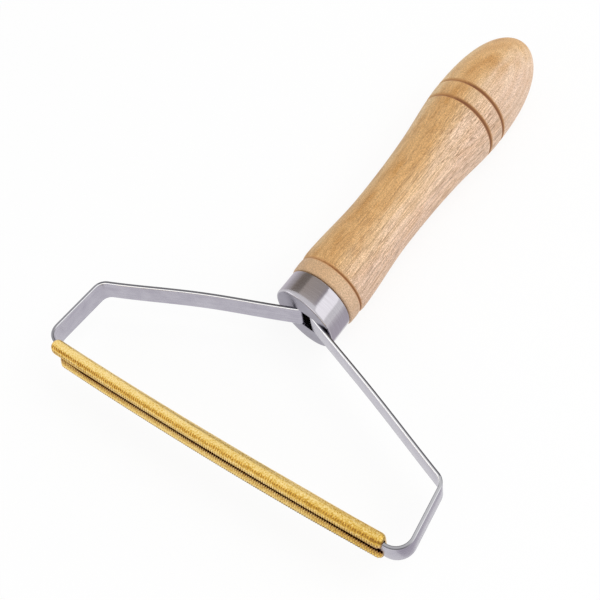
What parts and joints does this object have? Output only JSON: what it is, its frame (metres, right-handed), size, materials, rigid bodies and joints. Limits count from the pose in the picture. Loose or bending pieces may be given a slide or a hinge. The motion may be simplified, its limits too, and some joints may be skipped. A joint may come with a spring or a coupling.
{
  "type": "double-sided lint remover",
  "caption": "Hand lint scraper with a turned wooden handle, a steel ferrule, a bent flat-steel loop and a toothed folded blade along its lower run.",
  "frame": {"origin": "middle of the tool's overall box: on the handle's axis, in the middle plane of the loop, halfway between the blade's lips and the handle's domed end", "axes": "+X along the blade, +Y along the handle from the blade towards the domed end, +Z square to the plane of the loop"},
  "size_m": [0.129, 0.1832, 0.028],
  "materials": {
    "turned_ash": "turned and sanded, thin clear wax, burnt grooves",
    "polished_steel": "drawn sheet, polished",
    "satin_steel": "satin rolled strip with bright edges",
    "brass_sheet": "rolled and folded sheet with coined teeth",
    "set_glue": "set amber resin"
  },
  "bodies": {
    "root": {"handle": "turned_ash", "ferrule": "polished_steel", "frame_strip": "satin_steel", "blade_sleeve": "brass_sheet", "tang_glue": "set_glue"}
  },
  "joints": []
}
